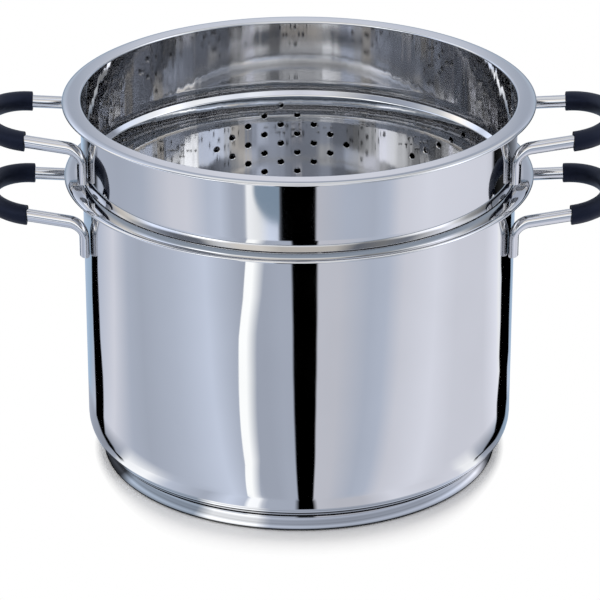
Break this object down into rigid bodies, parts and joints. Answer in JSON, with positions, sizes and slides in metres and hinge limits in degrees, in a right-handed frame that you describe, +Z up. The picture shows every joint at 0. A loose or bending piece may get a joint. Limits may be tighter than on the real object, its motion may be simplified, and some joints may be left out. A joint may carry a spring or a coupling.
{
  "type": "steamer pot",
  "caption": "Straight-sided stovetop pot with a bonded base and a perforated lift-out insert that seats in its mouth; both have side loop handles with sleeve grips.",
  "frame": {"origin": "centre of the flat base that the pot stands on", "axes": "+Z up along the pot's axis, +X out through the handles on the pot's right as seen in the picture, +Y to the back"},
  "size_m": [0.3582, 0.261, 0.213],
  "materials": {
    "polished_steel": "mirror-polished stainless steel",
    "insert_steel": "polished stainless steel, perforated",
    "base_cap_steel": "polished stainless steel, lightly brushed below",
    "base_aluminium": "plain",
    "rod_steel": "polished stainless rod",
    "grip_silicone": "black silicone with a soft sheen"
  },
  "bodies": {
    "pot": {"pot_body": "polished_steel", "base_core": "base_aluminium", "base_cap": "base_cap_steel", "pot_handle_right": "rod_steel", "pot_handle_left": "rod_steel", "pot_grip_right": "grip_silicone", "pot_grip_left": "grip_silicone"},
    "insert": {"insert_body": "insert_steel", "insert_handle_right": "rod_steel", "insert_handle_left": "rod_steel", "insert_grip_right": "grip_silicone", "insert_grip_left": "grip_silicone"}
  },
  "joints": [
    {"name": "insert_lift", "type": "slide", "parent": "pot", "child": "insert", "axis": [0, 0, 1], "range_m": [0, 0.12]}
  ]
}
